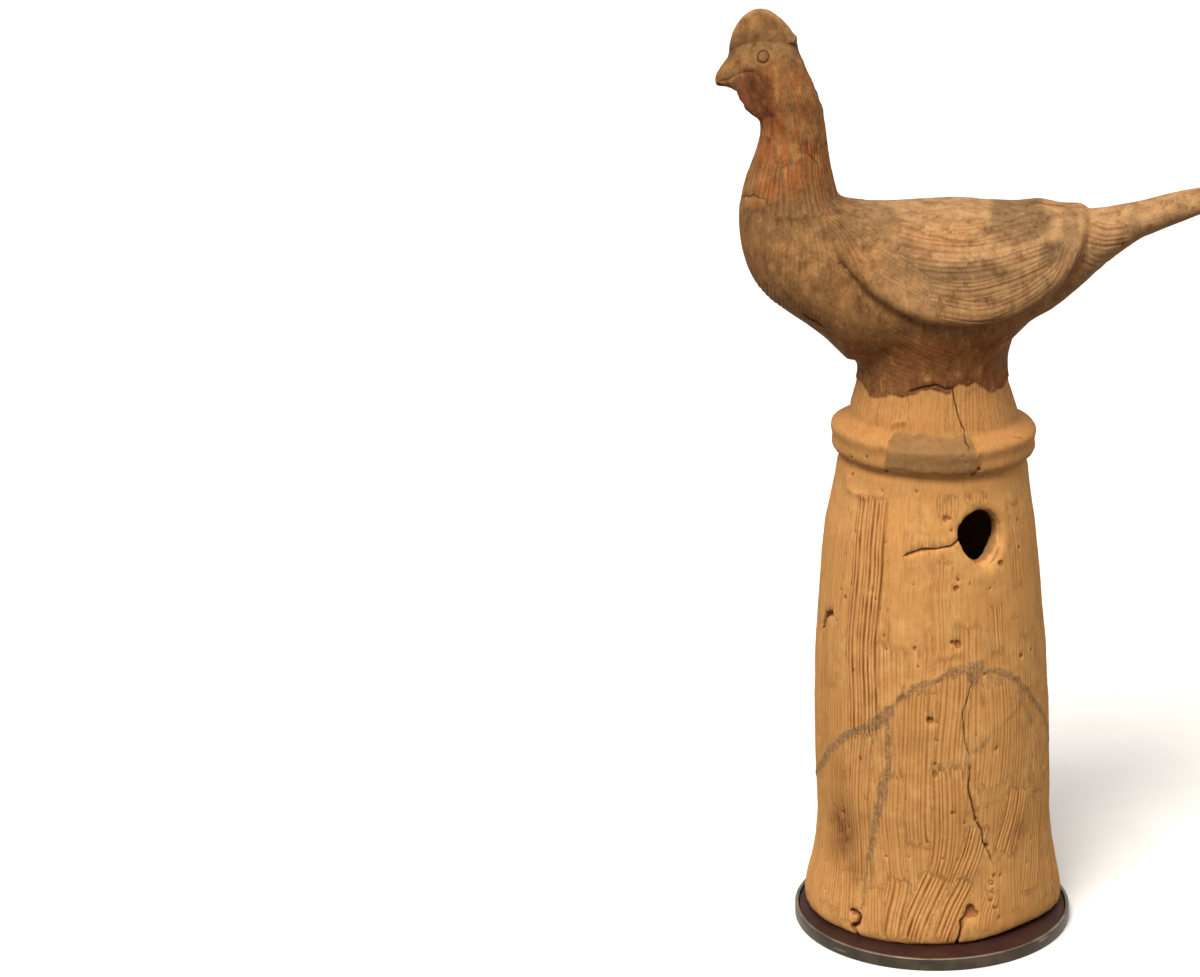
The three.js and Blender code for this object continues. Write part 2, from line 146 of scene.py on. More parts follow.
# The near side's comb strokes, drawn in order: (path, width, number of lines, depth). Later ones wipe earlier
# ones. Their depths are relative.
COMB_DEPTH, BIRD_COMB_DEPTH = 1.9, 1.1  # millimetres for a depth of 1
STROKES = (
    (((-37, 268), (-36, 224), (-37.5, 180), (-36, 142), (-35.5, 126)), 22, 8.5, 0.5),
    (((-57, 256), (-58, 200), (-59, 150)), 14, 6, 0.18),
    (((5, 236), (4.5, 215), (5, 198), (6, 176)), 12, 5, 0.2),
    (((-8, 252), (-8, 240), (-7, 230)), 16, 7, 0.14),
    (((9, 272), (9, 263), (8.5, 258)), 13, 6, 0.3),
    (((27, 272), (27, 264)), 14, 6, 0.26),
    (((35, 206), (35.5, 190), (36, 176)), 10, 5, 0.3),
    (((52, 262), (53, 235), (54, 210)), 12, 5, 0.22),
    (((12, 168), (11, 150), (9.5, 128), (8, 104)), 20, 8, 0.26),
    (((-6, 158), (-7, 130), (-8, 96), (-7.5, 62)), 21, 9, 0.3),
    (((-36, 128), (-38, 96), (-39, 66), (-38, 34)), 19, 8, 0.32),
    (((-55, 118), (-57, 86), (-58, 40), (-57, 12)), 18, 7, 0.26),
    (((33, 162), (34, 140), (33, 118), (31, 96)), 20, 8, 0.22),
    (((52, 150), (52, 118), (50, 92)), 18, 7, 0.22),
    (((-19, 106), (-20, 80), (-19, 52), (-17, 38)), 16, 7, 0.26),
    (((7, 112), (8, 86), (8, 62), (3, 36)), 20, 8, 0.34),
    (((47, 92), (42.5, 70), (37.5, 52)), 18, 7, 0.34),
    (((24, 74), (19, 52), (13, 34)), 15, 6, 0.4),
    (((62, 84), (58, 50), (54, 22)), 16, 6, 0.24),
    (((-16.5, 40), (-19, 22), (-21, 3)), 16, 5.5, 0.42),
    (((3, 44), (-3, 28), (-8, 12), (-10, 2)), 17, 6, 0.46),
    (((18, 40), (11, 24), (6, 10), (4, 2)), 13, 4.5, 0.42),
    (((-29, 34), (-28, 18), (-27, 3)), 12, 5, 0.3),
    (((-47, 38), (-45, 22), (-44, 6)), 13, 5, 0.24),
    (((32, 30), (28, 18), (26, 6)), 12, 5, 0.2),
)
# Rows of strokes all round the stem, under the others: (lowest, highest, depth).
COMB_ROWS = ((6, 118, 0.5), (92, 212, 0.38), (188, 276, 0.26), (303, 336, 0.3))
# Rows of strokes round the neck and breast: (lowest, highest, degrees apart, depth).
NECK_ROWS = ((385, 446, 26, 0.4), (430, 476, 34, 0.5), (462, 492, 40, 0.34))
# A column of small marks that spell nothing: the azimuth and height of each one's middle.
NOTCHES = ((32.8, 40.8), (30.9, 36.1), (32.1, 30.6), (30.9, 25.7), (33.1, 19.4), (35.3, 13))

# ---------- The bird, seen from its side: millimetres along X and up from the foot ----------

WING = {"x": 15, "z": 423, "half_length": 70, "drop": 53.5, "front_power": 1.75, "rear_power": 2.2}
EYE = {"x": -92.8, "z": 513.4, "ring": 3.1, "pellet": 2.35}
MOUTH = ((-117.5, 498), (-112.7, 499.4), (-109, 502.4), (-104.2, 504.4), (-99.4, 505.6))
COMB_FOOT = ((-113.5, 514.1), (-107.5, 517.6), (-100.3, 520.2), (-92, 520.6), (-82.4, 519.4), (-74.2, 516))
WATTLE_EDGE = ((-98.4, 506), (-91.9, 498.3), (-88.5, 489.8), (-86.8, 482), (-93.4, 478))
EYE_RING = tuple((EYE["x"] + EYE["ring"] * math.cos(t), EYE["z"] + 0.95 * EYE["ring"] * math.sin(t))
                 for t in np.linspace(0, 2 * math.pi, 17))
HEAD_LINES = (  # (path, width, darkness)
    (EYE_RING, 0.85, 0.7), (MOUTH, 0.7, 0.26), (COMB_FOOT, 1.3, 0.2), (WATTLE_EDGE, 1.1, 0.08),
    (((-79.4, 518.9), (-77, 518.6), (-74.4, 517.4)), 1.1, 0.85),
    (((-117.8, 495.8), (-116.6, 495.4)), 1.2, 0.8),
)
CHIP = (-76.2, 520.9)  # pale, at the back of the comb's foot
# A curl of clay beside the mended stretch of the ring: (azimuth, height).
CURL = ((-19.9, 311.6), (-24.2, 310.7), (-28.6, 308.4), (-30.9, 305.2), (-30.9, 301.6), (-29.4, 298.9))
NECK_AXIS = ((430, -78), (446, -79), (458, -78), (469, -78), (481, -80), (495, -85), (509, -90))
# A soft fold inside the wing's front edge.
WING_FOLD = ((-49.4, 423), (-42.1, 418), (-33.1, 410.5), (-26.7, 404), (-17.6, 395.5), (-4.8, 390))
BIRD_CRACKS = (
    (((-124, 431), (-117, 434), (-111, 436), (-107, 432.5), (-99, 436.5), (-92, 435)), 0.3, 0.4),
    (((-64, 454), (-68, 459), (-69, 465)), 0.3, 0.3),
    (((-71, 371), (-66, 368), (-62, 365.5)), 0.8, 0.9),
)
# The bird's comb strokes: (path, width, number of lines, depth).
BIRD_STROKES = (
    (((-98, 388), (-84, 381), (-70, 375), (-58, 371)), 15, 0, 0),
    (((-40, 350), (-26, 343), (-8, 338)), 22, 8, 0.16),
    (((-30, 366), (-8, 352), (16, 342)), 18, 7, 0.2),
    (((-20, 414), (8, 410), (36, 411), (62, 416)), 20, 8, 0.34),
    (((-24, 402), (4, 397), (36, 398), (66, 405)), 16, 6, 0.36),
    (((-32, 408), (-14, 398), (6, 386)), 14, 6, 0.2),
    (((-2, 391), (20, 388), (44, 392), (66, 400)), 13, 5, 0.3),
    (((4, 381), (26, 377), (50, 383), (70, 396), (78, 410)), 14, 5, 0.4),
    (((34, 372), (54, 380), (68, 390), (75, 402)), 8, 3, 0.36),
    (((-6, 422), (14, 419), (30, 420)), 8, 4, 0.26),
    (((86, 414), (96, 410), (110, 411)), 15, 5, 0.4),
    (((84, 402), (93, 396), (104, 398)), 14, 4, 0.4),
    (((112, 416), (140, 424), (170, 431)), 12, 6, 0.12),
)

# ---------- Smooth noise and drawn lines ----------

TABLE = np.random.default_rng(7).uniform(-1, 1, 4096).astype(np.float32)


def noise(points, size, seed):
    """Smooth noise from -1 to 1 on a lattice of that size, one size for all axes or one for each."""
    q = points / np.asarray(size, np.float32) + 13.7 * seed
    cell = np.floor(q)
    t = (q - cell).astype(np.float32)
    t = t * t * (3 - 2 * t)
    cell = cell.astype(np.int64)
    primes = (73856093, 19349663, 83492791)
    keys = [[(cell[:, a] + step) * primes[a] for step in (0, 1)] for a in range(3)]
    total = np.zeros(len(points), np.float32)
    for corner in itertools.product((0, 1), repeat=3):
        weight = np.ones(len(points), np.float32)
        for a in range(3):
            weight *= t[:, a] if corner[a] else 1 - t[:, a]
        key = keys[0][corner[0]] ^ keys[1][corner[1]] ^ keys[2][corner[2]]
        total += weight * TABLE[key & 4095]
    return total


def layered(points, size, seed, octaves=3):
    """Noise with finer and weaker noise on it."""
    return sum(noise(points, size / 2**k, seed + k) * 0.55**k for k in range(octaves))


def smooth(value, low, high):
    t = np.clip((value - low) / (high - low), 0, 1)
    return t * t * (3 - 2 * t)


def bell(distance, width):
    return np.exp(-((distance / width) ** 2))


def from_path(u, v, path):
    """Each point's distance from a path, its signed distance (left is positive), and its length along it."""
    path = np.asarray(path, float)
    best = np.full(len(u), 1e9)
    side = np.zeros(len(u))
    along = np.zeros(len(u))
    start = 0.0
    for a, b in zip(path[:-1], path[1:]):
        step = b - a
        length = max(float(np.hypot(*step)), 1e-9)
        share = ((u - a[0]) * step[0] + (v - a[1]) * step[1]) / length**2
        t = np.clip(share, 0, 1)
        distance = np.hypot(u - a[0] - t * step[0], v - a[1] - t * step[1])
        nearer = distance < best
        cross = (step[0] * (v - a[1]) - step[1] * (u - a[0])) / length
        best = np.where(nearer, distance, best)
        side = np.where(nearer, cross, side)
        along = np.where(nearer, start + share * length, along)
        start += length
    return best, side, along


def bent(path, spacing=4.0):
    """A path's points on a smooth curve through them."""
    path = np.asarray(path, float)
    if len(path) < 3:
        return path
    slope = np.gradient(path, axis=0)
    points = []
    for i in range(len(path) - 1):
        a, b, da, db = path[i], path[i + 1], slope[i], slope[i + 1]
        count = max(int(np.hypot(*(b - a)) / spacing), 1)
        for t in np.arange(count) / count:
            points.append(a + t * (da + t * (3 * (b - a) - 2 * da - db + t * (da + db - 2 * (b - a)))))
    return np.array([*points, path[-1]])


# ---------- Where a point of the clay lies ----------


class Clay:
    """The clay's points in the coordinates that its marks are drawn in."""

    def __init__(self, points, normals, outer):
        self.p = ((points - ORIGIN) / MM).astype(np.float32)
        self.normal = normals
        self.outer = outer
        x, y, self.z = self.p.T
        self.azimuth = np.degrees(np.arctan2(x, -y))
        self.radius = np.interp(self.z, *zip(*RADIUS)).astype(np.float32)
        self.join = np.interp(self.azimuth, *zip(*JOIN))
        self.join = self.join + 1.6 * noise(self.p, 6, 31) + 0.8 * noise(self.p, 2.2, 32)
        self.above = self.z - self.join  # how far above the join of stem and bird
        self.stem = outer & (self.z < 345)
        self.bird = outer & (self.z > 318)
        self.comb_phase = np.zeros(len(self.p))
        self.comb_depth = np.zeros(len(self.p))
        stem = np.flatnonzero(self.stem)
        self.stem_upwards = stem[np.argsort(self.z[stem], kind="stable")]
        self.stem_heights = self.z[self.stem_upwards]

    def stem_band(self, azimuth, low, high):
        """The stem's points between two heights, and their places round it from azimuth, in millimetres."""
        first, last = np.searchsorted(self.stem_heights, (low, high))
        band = self.stem_upwards[first:last]
        turn = (self.azimuth[band] - azimuth + 180) % 360 - 180
        return band, np.radians(turn) * self.radius[band]

    def round_stem(self, azimuth, z, reach):
        """The stem's points near a place, as (which, u, v) from that place, in millimetres."""
        band, u = self.stem_band(azimuth, z - reach, z + reach)
        ok = np.abs(u) < reach
        return band[ok], u[ok], self.z[band[ok]] - z

    def near_stem_path(self, path, reach):
        """The stem's points near a path given as (azimuth, height), with that path as (u, v)."""
        path = np.asarray(path, float)
        middle = (path[:, 0].min() + path[:, 0].max()) / 2
        flat = np.radians(path[:, 0] - middle) * np.interp(path[:, 1], *zip(*RADIUS))
        band, u = self.stem_band(middle, path[:, 1].min() - reach, path[:, 1].max() + reach)
        ok = (u > flat.min() - reach) & (u < flat.max() + reach)
        return band[ok], u[ok], self.z[band[ok]], np.stack([flat, path[:, 1]], axis=1)

    def near_side_path(self, path, reach):
        """The bird's side points near a path given as (x, height)."""
        path = np.asarray(path, float)
        x, _, z = self.p.T
        ok = self.bird & (np.abs(x - path[:, 0].mean()) < np.ptp(path[:, 0]) / 2 + reach + 20)
        ok &= (z > path[:, 1].min() - reach) & (z < path[:, 1].max() + reach)
        near = np.flatnonzero(ok)
        return near, x[near], z[near], path


# ---------- Marks: each adds to the height of the surface, in millimetres outwards ----------


def comb_stroke(clay, height, found, width, lines, depth, seed):
    """One pull of a wooden comb: it wipes what was there and leaves grooves of uneven depth and spacing.

    clay.comb_phase is whole at the middle of each groove, and clay.comb_depth is the stroke's depth."""
    near, u, v, path = found
    if not len(near):
        return
    path = bent(path)
    distance, side, along = from_path(u, v, path)
    length = float(np.hypot(*np.diff(path, axis=0).T).sum())
    waver = 0.5 * noise(np.stack([along, side * 0, side * 0 + seed], axis=1), 14, seed + 50)
    across = (side + waver) / width + 0.5
    ends = smooth(along, -1.5, 3) * smooth(length - along, -1.5, 4)
    sides = smooth(across, -0.02, 0.07) * smooth(1 - across, -0.02, 0.07)
    mask = ends * sides * (distance < width)
    kept = 1 - 0.85 * mask
    height[near] *= kept
    clay.comb_depth[near] *= kept
    if not lines:
        return
    phase = across * lines + 0.16 * np.sin(2.1 * across * lines + seed)
    strength = np.random.default_rng(seed).uniform(0.5, 1.1, int(lines) + 4)
    line = np.round(phase).astype(int)
    fading = 0.75 + 0.25 * noise(np.stack([along, phase * 3, phase * 0], axis=1), (9, 3, 3), seed + 80)
    groove = bell(phase - line, 0.24) * strength[np.clip(line + 1, 0, int(lines) + 3)] * fading
    height[near] += depth * (0.3 - groove) * mask
    on_top = mask > 0.3
    clay.comb_phase[near[on_top]] = (phase + 8 * (seed % 50))[on_top]
    clay.comb_depth[near[on_top]] = (depth * mask * fading)[on_top]


def comb_marks(clay):
    """All the comb strokes on the stem and the bird."""
    height = np.zeros(len(clay.p))
    rng = np.random.default_rng(21)
    for row, (low, high, depth) in enumerate(COMB_ROWS):
        spread = 19 if row < 3 else 26
        for azimuth in np.arange(-180, 180, spread) + row * 7:
            tilt, jitter = rng.uniform(-3, 3), rng.uniform(-8, 8, 2) * (row < 3)
            top, bottom = high + jitter[0], low + jitter[1]
            path = [(azimuth + tilt, top), (azimuth, (low + high) / 2), (azimuth - tilt, bottom)]
            seed = int(rng.integers(1, 9999))
            strength = depth * rng.uniform(0.5, 1.2)
            if row == 2 and -30 < azimuth < 70:
                strength *= 0.4
            comb_stroke(clay, height, clay.near_stem_path(path, 14), 22, 8.6, strength, seed)
    for seed, (path, width, lines, depth) in enumerate(STROKES):
        found = clay.near_stem_path(path, width)
        comb_stroke(clay, height, found, width, lines, COMB_DEPTH * depth, 300 + seed)
    neck_strokes(clay, height, rng)
    for seed, (path, width, lines, depth) in enumerate(BIRD_STROKES):
        found = clay.near_side_path(path, width)
        comb_stroke(clay, height, found, width, lines, BIRD_COMB_DEPTH * depth, 400 + seed)
    hatching(clay, height)
    return height


def neck_strokes(clay, height, rng):
    """Strokes down the neck and breast, in angle round the neck and height."""
    x, y, z = clay.p.T
    axis = np.interp(z, *zip(*NECK_AXIS))
    angle = np.arctan2(y, -(x - axis))
    for low, high, spread, depth in NECK_ROWS:
        ok = clay.bird & (z > low - 8) & (z < high + 8) & (x < -38)
        near = np.flatnonzero(ok)
        reach = 42 if high < 450 else 24
        for degrees in np.arange(-160, 161, spread):
            u = ((np.degrees(angle[near]) - degrees + 180) % 360 - 180) * math.radians(1) * reach
            top, bottom = high + rng.uniform(-6, 6), low + rng.uniform(-6, 6)
            path = np.array([(rng.uniform(-2, 2), top), (0, (top + bottom) / 2),
                             (rng.uniform(-3, 3), bottom)])
            seed = int(rng.integers(1, 9999))
            comb_stroke(clay, height, (near, u, z[near], path), 17, 6.6, depth * rng.uniform(0.6, 1.2), seed)


def hatching(clay, height):
    """The row of short slanting dabs under the breast, on both sides."""
    near, u, v, path = clay.near_side_path(((-101, 385), (-86, 378), (-74, 373), (-62, 368)), 9)
    distance, side, along = from_path(u, v, path)
    phase = (along + 0.45 * side) / 2.5
    groove = bell(phase - np.round(phase), 0.26)
    mask = smooth(8.5 - distance, 0, 3) * smooth(along, 0, 3) * smooth(44 - along, 0, 3)
    height[near] -= 0.34 * groove * mask


def worn(clay):
    """Hand-built unevenness and the grain of the weathered face."""
    p = clay.p
    broad = 0.55 * layered(p, 42, 1, 2) + 0.22 * layered(p, 13, 3, 2)
    lower = smooth(clay.z, 345, 325)
    return broad * (1 - 0.35 * lower) + 0.07 * noise(p, 2.9, 6)


def cracks(clay, height):
    for seed, (path, width, depth) in enumerate(CRACKS):
        near, u, v, flat = clay.near_stem_path(path, 6)
        carve_crack(clay, height, near, u, v, flat, width, depth, seed)
    for seed, (path, width, depth) in enumerate(BIRD_CRACKS):
        near, u, v, flat = clay.near_side_path(path, 6)
        left = clay.p[near, 1] < 6
        carve_crack(clay, height, near[left], u[left], v[left], flat, width, depth, 40 + seed)


def wandering(clay, near, u, v, seed, amount=0.8):
    """The same places shifted about a little, so that a drawn line wanders."""
    p = clay.p[near]
    return u + amount * noise(p, 4.5, seed + 60), v + amount * noise(p, 4.5, seed + 61)


def carve_crack(clay, height, near, u, v, path, width, depth, seed):
    distance, _, _ = from_path(*wandering(clay, near, u, v, seed), path)
    uneven = 1 + 0.5 * noise(clay.p[near], 5, seed + 70)
    height[near] -= depth * smooth(width * uneven - distance, -0.5, 0.5 * width)


def filling_cover(clay, fillings, seed):
    """How far each point is covered by the paste that fills the breaks."""
    cover = np.zeros(len(clay.p))
    for path, width in fillings:
        near, u, v, flat = clay.near_stem_path(path, 12)
        distance, _, _ = from_path(*wandering(clay, near, u, v, seed, 1.0), flat)
        reach = width / 2 * (1 + 0.35 * noise(clay.p[near], 5, seed + 3))
        cover[near] = np.maximum(cover[near], smooth(reach - distance, -0.9, 0.9))
    return cover


def ring_patch_cover(clay):
    """The mended stretch of the ring."""
    azimuth = clay.azimuth + 1.5 * noise(clay.p, 5, 90)
    z = clay.z + 1.2 * noise(clay.p, 7, 91) + 0.06 * azimuth
    span = smooth(azimuth, -27, -25.5) * smooth(-azimuth, -26, -24.5)
    return span * smooth(z, 284.5, 286.5) * smooth(-z, -306, -303.5) * clay.stem


def ring_relief(clay, height):
    """The applied ring keeps a flat face and firm edges, with a groove above and a step below."""
    near = np.flatnonzero(clay.stem & (np.abs(clay.z - RING["z"]) < 26))
    dip = RING["dip"] * np.cos(np.radians(clay.azimuth[near] - RING["low_at"]))
    up = clay.z[near] - RING["z"] + dip + 0.7 * noise(clay.p[near], 14, 98)
    height[near] += 1.5 * bell(up - 5.5, 3.2) + 0.9 * bell(up + 5, 3.2) - 1.6 * bell(up - 13.5, 3.2)
    height[near] -= 1.0 * bell(up + 11.5, 2.6)
    patch = ring_patch_cover(clay)[near]
    height[near] += patch * (0.9 * bell(up - 1, 5) - 0.9 * bell(up - 7 - 0.04 * clay.azimuth[near], 1.1))
    band, u, v, path = clay.near_stem_path(CURL, 6)
    height[band] += 1.3 * bell(from_path(u, v, bent(path, 1.5))[0], 1.5)


def wing_distance(clay):
    """The distance inside (positive) or outside the outline of the folded wing, in side view."""
    x, y, z = clay.p.T
    turns = np.linspace(-math.pi / 2, math.pi / 2, 41)
    share = np.sin(turns)
    power = np.where(share < 0, WING["front_power"], WING["rear_power"])
    edge_z = WING["z"] - WING["drop"] * (1 - np.abs(share) ** power) ** (1 / power)
    outline = np.stack([WING["x"] + WING["half_length"] * share, edge_z], axis=1)
    ok = clay.bird & (np.abs(y) > 3) & (z > 352) & (np.abs(x - WING["x"]) < WING["half_length"] + 22)
    near = np.flatnonzero(ok)
    distance, side, along = from_path(x[near], z[near], outline)
    return near, np.where(side > 0, distance, -distance), along


def wing_relief(clay, height):
    """The wing's rolled edge and the groove outside it."""
    near, inside, along = wing_distance(clay)
    front = smooth(95 - along, 0, 60)
    rear = smooth(along, 105, 150)
    up = smooth(428 - clay.p[near, 2], 0, 14)
    roll = 1.5 * bell(inside - 5, 4) - 0.5 * bell(inside - 14, 6)
    groove = (1.0 + 1.3 * front) * bell(inside + 3, 2.6)
    height[near] += up * (roll * (1 - 0.55 * rear) - groove * (1 - 0.4 * rear))
    near, u, v, path = clay.near_side_path(WING_FOLD, 12)
    _, side, along = from_path(u, v, bent(path))
    height[near] += (0.9 * bell(side + 3.5, 3) - 0.7 * bell(side - 2, 2.6)) * bell((along - 28) / 24, 1)


def head_relief(clay, height):
    """Eyes, mouth, and the foot of the comb, on both sides of the head."""
    x, y, z = clay.p.T
    near = np.flatnonzero(clay.bird & (z > 470) & (x < -60))
    u, v = x[near], z[near]
    flank = smooth(np.abs(y[near]), 1.5, 4)
    away = np.hypot(u - EYE["x"], (v - EYE["z"]) * 1.05)
    eye = 0.8 * smooth(EYE["pellet"] + 0.7 - away, 0, 1.6) + 0.45 * bell(away - EYE["ring"] - 1.5, 0.8)
    eye -= 0.9 * bell(away - EYE["ring"], 0.55)
    height[near] += eye * flank * (np.abs(y[near]) > 5)
    mouth, _, _ = from_path(u, v, bent(MOUTH, 1.5))
    height[near] -= 0.5 * bell(mouth, 0.9) * flank
    foot, _, _ = from_path(u, v, bent(COMB_FOOT, 1.5))
    height[near] -= 0.6 * bell(foot, 1.8) * smooth(np.abs(y[near]), 1, 3)
    height[near] += 1.2 * bell(np.hypot(u - CHIP[0], v - CHIP[1]), 2)
    edge, _, _ = from_path(*wandering(clay, near, u, v, 77, 1.2), bent(WATTLE_EDGE, 1.5))
    height[near] -= 0.6 * bell(edge, 1.3) * flank
    face = smooth(505 - v, 0, 12) * smooth(v, 474, 482)
    height[near] += face * (0.45 * noise(clay.p[near], 3.4, 93) + 0.35 * noise(clay.p[near], 7, 94))


def join_relief(clay, height):
    """The bird's dark clay ends in a ragged lip over the paler stem."""
    near = np.flatnonzero(clay.outer & (np.abs(clay.above) < 12))
    above = clay.above[near]
    height[near] += 0.5 * smooth(above, -0.5, 0.7) * smooth(12 - above, 0, 10) - 0.25 * bell(above + 0.8, 0.8)
    height[near] += 0.35 * noise(clay.p[near], 4, 95) * smooth(12 - np.abs(above), 0, 8)


def hole_relief(clay, height):
    """The soft rim of the pierced holes."""
    for azimuth in (HOLE["azimuth"], HOLE["azimuth"] - 180):
        near, u, v = clay.round_stem(azimuth, HOLE["z"], 34)
        away = np.hypot(u / HOLE["width"], v / HOLE["height"])
        height[near] += -1.6 * bell(away - 0.98, 0.17) * smooth(u, -10, 8) + 0.35 * bell(away - 1.4, 0.2)


def notches(clay, height):
    """A column of small marks that spell nothing."""
    rng = np.random.default_rng(5)
    for azimuth, z in NOTCHES:
        near, u, v = clay.round_stem(azimuth, z, 8)
        for _ in range(3):
            turn, length = rng.uniform(-1.2, 1.2), rng.uniform(1.2, 2.4)
            middle = rng.uniform(-1.1, 1.1, 2)
            arm = np.array((math.cos(turn), math.sin(turn))) * length / 2
            distance, _, _ = from_path(u, v, (middle - arm, middle + arm))
            height[near] -= 0.4 * smooth(0.55 - distance, -0.2, 0.35)


def pits(clay, height):
    rng = np.random.default_rng(3)
    scattered = [(rng.uniform(-180, 180), rng.uniform(4, 320), rng.uniform(0.5, 1.2), rng.uniform(0.3, 0.8))
                 for _ in range(170)]
    for azimuth, z, radius, depth in (*PITS, *scattered):
        near, u, v = clay.round_stem(azimuth, z, radius * 3)
        u, v = wandering(clay, near, u, v, 17, 0.5 * radius)
        height[near] -= depth * smooth(1.25 - np.hypot(u, v) / radius, 0, 0.8)


def swells(clay, height):
    for azimuth, z, wide, tall, rise in SWELLS:
        near, u, v = clay.round_stem(azimuth, z, 2.2 * max(wide, tall))
        height[near] += rise * bell(np.hypot(u / wide, v / tall), 1)


def marks(clay, fine=False):
    """The height of the marks on the surface, in millimetres: all of them, or only the fine ones."""
    height = comb_marks(clay)
    fade = smooth(clay.z, 498, 488) * clay.outer
    height *= fade
    patch = ring_patch_cover(clay)
    cover = filling_cover(clay, FILLINGS, 7)
    faint = filling_cover(clay, FAINT_FILLINGS, 8)
    height *= (1 - cover) * (1 - patch) * (1 - 0.7 * faint)
    grit = 0.3 * noise(clay.p, 1.9, 11) + 0.25 * noise(clay.p, 3.5, 12)
    height += cover * (0.3 + grit) + faint * (0.1 + 0.6 * grit) + patch * (0.55 + 0.7 * grit)
    broad = () if fine else (ring_relief, wing_relief, head_relief, join_relief, hole_relief, swells)
    for relief in (*broad, notches, pits, cracks):
        relief(clay, height)
    return height


def carved(clay):
    """The height of the worked surface over the plain one, in millimetres."""
    inner = clay.p[~clay.outer]
    height = np.maximum(marks(clay), -3.2) + worn(clay)
    height[~clay.outer] = 0.8 * noise(inner, 16, 14) + 0.3 * noise(inner, 6, 15)
    return height


# ---------- The clay's mesh ----------


def new_object(name, mesh):
    made = bpy.data.objects.new(name, mesh)
    bpy.context.scene.collection.objects.link(made)
    return made


def with_modifiers(thing):
    """Gives the object the mesh that its modifiers make, and drops them."""
    bpy.context.view_layer.update()
    made = bpy.data.meshes.new_from_object(thing.evaluated_get(bpy.context.evaluated_depsgraph_get()))
    old = thing.data
    thing.modifiers.clear()
    thing.data = made
    bpy.data.meshes.remove(old)
    return made


def coordinates(mesh):
    flat = np.empty(len(mesh.vertices) * 3, np.float32)
    mesh.vertices.foreach_get("co", flat)
    return flat.reshape(-1, 3).astype(float)


def normals_of(mesh):
    flat = np.empty(len(mesh.vertices) * 3, np.float32)
    mesh.vertex_normals.foreach_get("vector", flat)
    return flat.reshape(-1, 3).astype(float)


def edges_of(mesh):
    flat = np.empty(len(mesh.edges) * 2, np.int32)
    mesh.edges.foreach_get("vertices", flat)
    return flat.reshape(-1, 2)


def joined_cad():
    """The CAD's clay solids in one mesh. Each reaches a little into the one above."""
    points, faces, start = [], [], 0
    for name in CLAY_NODES:
        mesh = frame["nodes"][name].data
        co = coordinates(mesh)
        if name != CLAY_NODES[-1]:
            top = co[:, 2].max()
            co[co[:, 2] > top - 0.01 * MM, 2] += CAD_OVERLAP
        corners = np.empty(len(mesh.loops), np.int32)
        mesh.loops.foreach_get("vertex_index", corners)
        faces.append(corners.reshape(-1, 3) + start)
        points.append(co)
        start += len(co)
    mesh = bpy.data.meshes.new("clay")
    mesh.from_pydata(np.concatenate(points), [], np.concatenate(faces).tolist())
    mesh.validate()
    return new_object("haniwa", mesh)


def weld(thing):
    """Joins corners that lie in one place, so that the solids are closed."""
    modifier = thing.modifiers.new("weld", "WELD")
    modifier.merge_threshold = 0.01 * MM
    with_modifiers(thing)


def remesh(thing):
    modifier = thing.modifiers.new("remesh", "REMESH")
    modifier.mode = "VOXEL"
    modifier.voxel_size = VOXEL
    with_modifiers(thing)


def outer_points(points, edges):
    """True on the outside, and not in the hollow, which it meets only at the foot and the holes."""
    x, y, z = ((points - ORIGIN) / MM).T
    around = ((np.degrees(np.arctan2(x, -y)) + 180) / 10).astype(int) % 36
    rows = np.clip((z / 5).astype(int), 0, 119)
    reach = np.hypot(x, y)
    widest = np.zeros((36, 120))
    np.maximum.at(widest, (around, rows), reach)
    depth = widest[around, rows] - reach
    inside = (z < 270) & (depth > 5)
    outer = (z > 500) | ((z < 270) & (depth < 2))
    a, b = edges[~inside[edges].any(axis=1)].T
    while True:
        before = outer.sum()
        for _ in range(8):
            outer[b[outer[a]]] = True
            outer[a[outer[b]]] = True
        if outer.sum() == before:
            return outer


def keep_outer(mesh, outer):
    mesh.attributes.new("outer", "FLOAT", "POINT").data.foreach_set("value", outer.astype(np.float32))


def kept_outer(mesh):
    values = np.empty(len(mesh.vertices), np.float32)
    mesh.attributes["outer"].data.foreach_get("value", values)
    return values > 0.5


def clay_of(mesh):
    return Clay(coordinates(mesh), normals_of(mesh), kept_outer(mesh))


def neighbour_mean(values, edges, counts):
    a, b = edges.T
    total = [np.bincount(a, values[b, k], len(values)) + np.bincount(b, values[a, k], len(values))
             for k in range(3)]
    return np.stack(total, axis=1) / counts[:, None]


def smoothed(points, edges, weight, rounds):
    """Takes out the CAD's facets without shrinking the form."""
    counts = np.bincount(edges.ravel(), minlength=len(points)).clip(1)
    for _ in range(rounds):
        for step in (0.55, -0.57):
            points = points + step * weight[:, None] * (neighbour_mean(points, edges, counts) - points)
    return points


def rounded_stem(points):
    """Turns the CAD cylinder's flat sides into a round."""
    x, y = points[:, 0], points[:, 1] - AXIS_Y
    side = 2 * math.pi / CAD_SIDES
    off = (np.arctan2(x, -y) % side) - side / 2
    grow = (np.cos(off) / math.cos(side / 2)) - 1
    grow *= smooth(points[:, 2] - FOOT, 0.350, 0.330)
    points[:, 0] += x * grow
    points[:, 1] += y * grow
    return points


def set_points(mesh, points):
    mesh.vertices.foreach_set("co", points.astype(np.float32).ravel())
    mesh.update()


